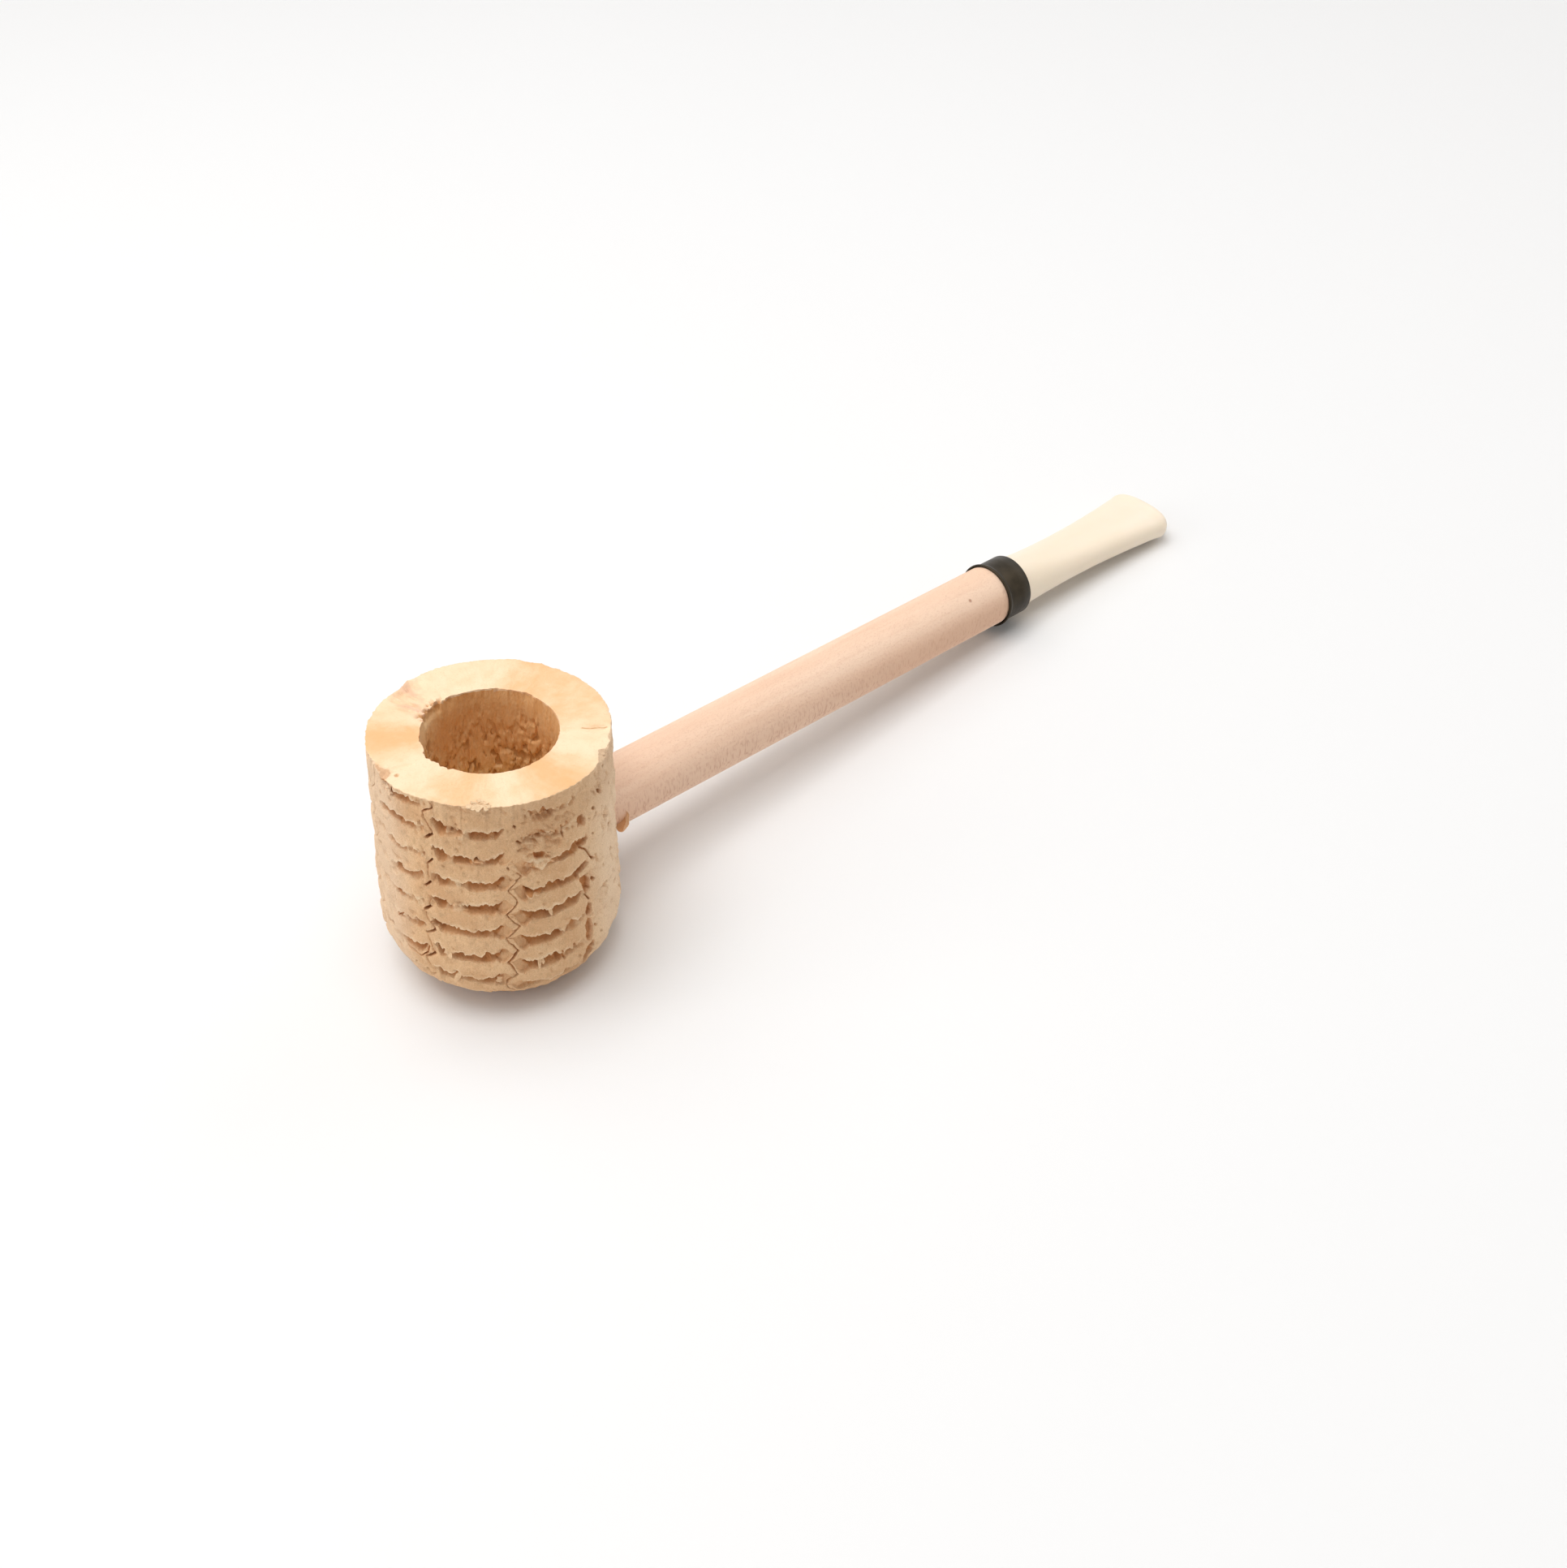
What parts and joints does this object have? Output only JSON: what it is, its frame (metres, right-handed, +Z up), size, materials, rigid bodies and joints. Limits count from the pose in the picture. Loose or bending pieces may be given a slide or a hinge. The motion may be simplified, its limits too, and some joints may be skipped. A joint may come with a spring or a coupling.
{
  "type": "corn cob smoking pipe",
  "caption": "Corn cob smoking pipe: bored cob bowl with staggered chaff cells, straight wooden shank, dark metal ferrule and a flat flared ivory mouthpiece over a paper filter.",
  "frame": {"origin": "on the floor, under the middle of the part's overall box", "axes": "+Z up, +X along the shank from the bowl towards the mouthpiece; the shank slopes down to the mouthpiece as the pipe rests on its bowl and its tip"},
  "size_m": [0.1595, 0.0336, 0.0385],
  "materials": {
    "cob": "matte, dry chaff over a woody ring",
    "beech": "fine sanded, bare",
    "ferrule_metal": "dark satin",
    "ivory_plastic": "smooth, half gloss",
    "filter_paper": "matte",
    "pleat_paper": "matte"
  },
  "bodies": {
    "pipe": {"cob_bowl": "cob", "shank": "beech", "ferrule": "ferrule_metal"},
    "filter": {"filter_wrapper": "filter_paper", "filter_pleats": "pleat_paper"},
    "mouthpiece": {"bit": "ivory_plastic"}
  },
  "joints": [
    {"name": "bit_pull", "type": "slide", "parent": "pipe", "child": "filter", "axis": [0.9958, 0, -0.092], "range_m": [0, 0.045]},
    {"name": "bit_twist", "type": "hinge", "parent": "filter", "child": "mouthpiece", "pos_m": [0.04125, 0, 0.00618], "axis": [0.9958, 0, -0.092], "continuous": true}
  ]
}
